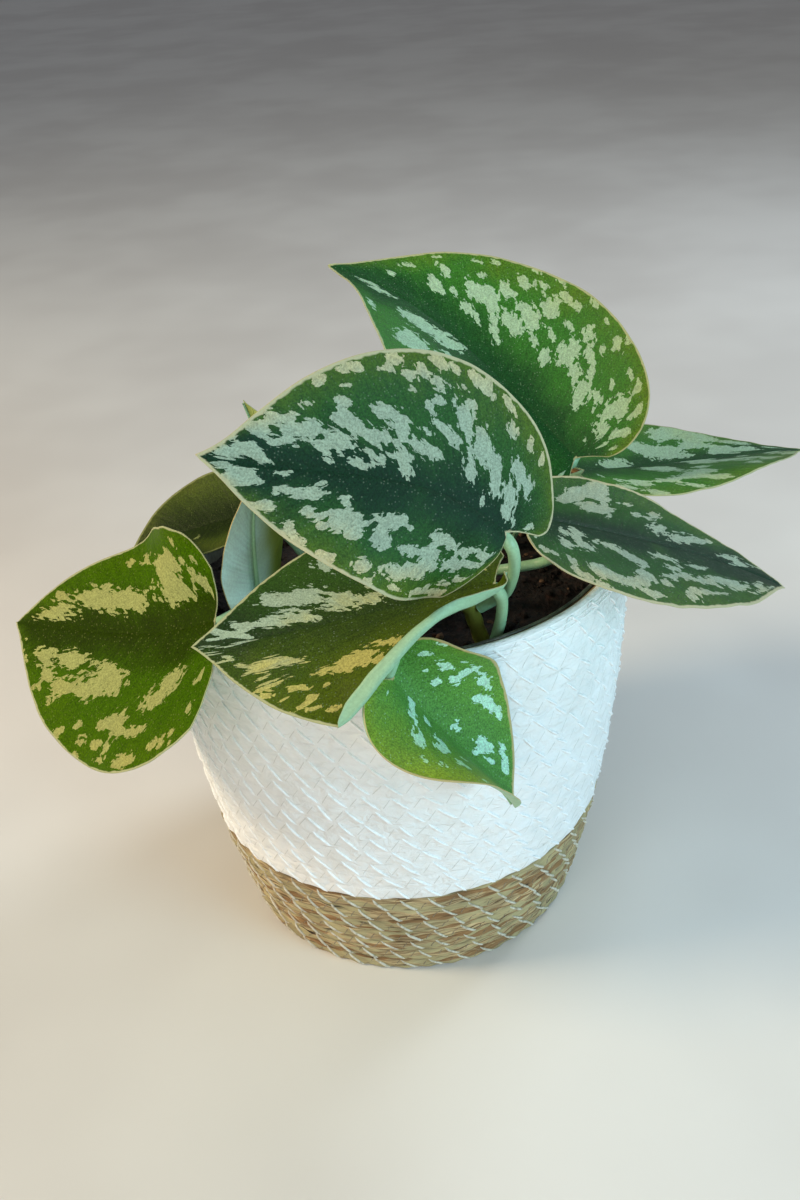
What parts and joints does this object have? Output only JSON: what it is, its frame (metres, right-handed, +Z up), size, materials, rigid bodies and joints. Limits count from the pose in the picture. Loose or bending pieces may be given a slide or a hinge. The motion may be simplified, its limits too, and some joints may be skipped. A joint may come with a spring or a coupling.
{
  "type": "potted satin pothos",
  "caption": "Young satin pothos with silver-splashed heart-shaped leaves in a round woven seagrass basket, painted white above a natural foot.",
  "frame": {"origin": "centre of the basket's underside", "axes": "+Z up; -Y is the front, the side the picture was taken from; +X to its right"},
  "size_m": [0.2709, 0.1851, 0.22],
  "materials": {
    "seagrass_braid": "matt white paint over woven plant fibre, bare at the foot",
    "liner_film": "thin dull film",
    "potting_soil": "crumbly and dark",
    "vine_skin": "smooth, slightly waxy",
    "leaf_dark": "satin, with silver blotches",
    "leaf_mid": "satin, with silver blotches",
    "leaf_olive": "satin, with silver blotches",
    "leaf_young": "satin, with pale blotches",
    "leaf_pale": "matt pale underside",
    "leaf_bud": "smooth"
  },
  "bodies": {
    "root": {"woven_basket": "seagrass_braid", "plastic_liner": "liner_film", "potting_soil": "potting_soil", "vine_stem": "vine_skin", "leaf_front_large": "leaf_dark", "leaf_back_upright": "leaf_mid", "leaf_right_back": "leaf_mid", "leaf_right_front": "leaf_dark", "leaf_lower_left": "leaf_olive", "leaf_hanging_young": "leaf_young", "leaf_left_large": "leaf_olive", "leaf_left_back": "leaf_olive", "leaf_pale_upright": "leaf_pale", "leaf_bud": "leaf_bud"}
  },
  "joints": []
}
